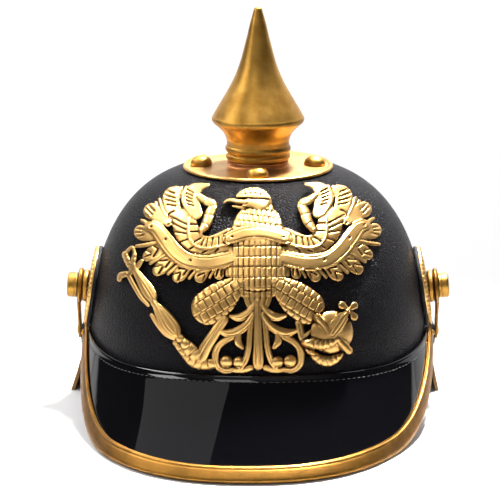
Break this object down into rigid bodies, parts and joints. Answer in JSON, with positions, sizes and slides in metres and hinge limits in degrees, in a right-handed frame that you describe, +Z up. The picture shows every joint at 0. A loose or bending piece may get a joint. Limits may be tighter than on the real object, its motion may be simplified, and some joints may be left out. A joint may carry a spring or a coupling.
{
  "type": "spiked helmet",
  "caption": "Spiked leather parade helmet: oval domed shell, brass spike on a round plate, crowned eagle plate, brass-trimmed peaks, side cockades and chin strap.",
  "frame": {"origin": "middle of the helmet's box, on the surface it stands on", "axes": "+Z up along the spike, +Y from the front peak to the rear peak, +X towards the wearer's left"},
  "size_m": [0.2152, 0.2998, 0.2236],
  "materials": {
    "shell_leather": "black pebbled leather, satin",
    "patent_leather": "black patent leather, glossy",
    "rear_leather": "black smooth leather outside, tan inside",
    "strap_leather": "black smooth leather",
    "cockade_leather": "black matt leather",
    "gilt_brass": "cast, satin gilt with dark recesses",
    "polished_brass": "turned and pressed, polished"
  },
  "bodies": {
    "root": {"shell": "shell_leather", "front_visor": "patent_leather", "rear_visor": "rear_leather", "visor_trim": "polished_brass", "trim_rivet_right": "polished_brass", "trim_rivet_left": "polished_brass", "spike_plate": "polished_brass", "plate_stud_1": "polished_brass", "plate_stud_2": "polished_brass", "plate_stud_3": "polished_brass", "plate_stud_4": "polished_brass", "spike": "polished_brass", "eagle_plate": "gilt_brass", "chin_strap": "strap_leather", "cockade_disc_right": "cockade_leather", "cockade_ring_right": "gilt_brass", "rosette_ring_right": "polished_brass", "boss_knob_right": "polished_brass", "strap_lug_right": "polished_brass", "strap_rivet_right": "polished_brass", "cockade_disc_left": "cockade_leather", "cockade_ring_left": "gilt_brass", "rosette_ring_left": "polished_brass", "boss_knob_left": "polished_brass", "strap_lug_left": "polished_brass", "strap_rivet_left": "polished_brass"}
  },
  "joints": []
}
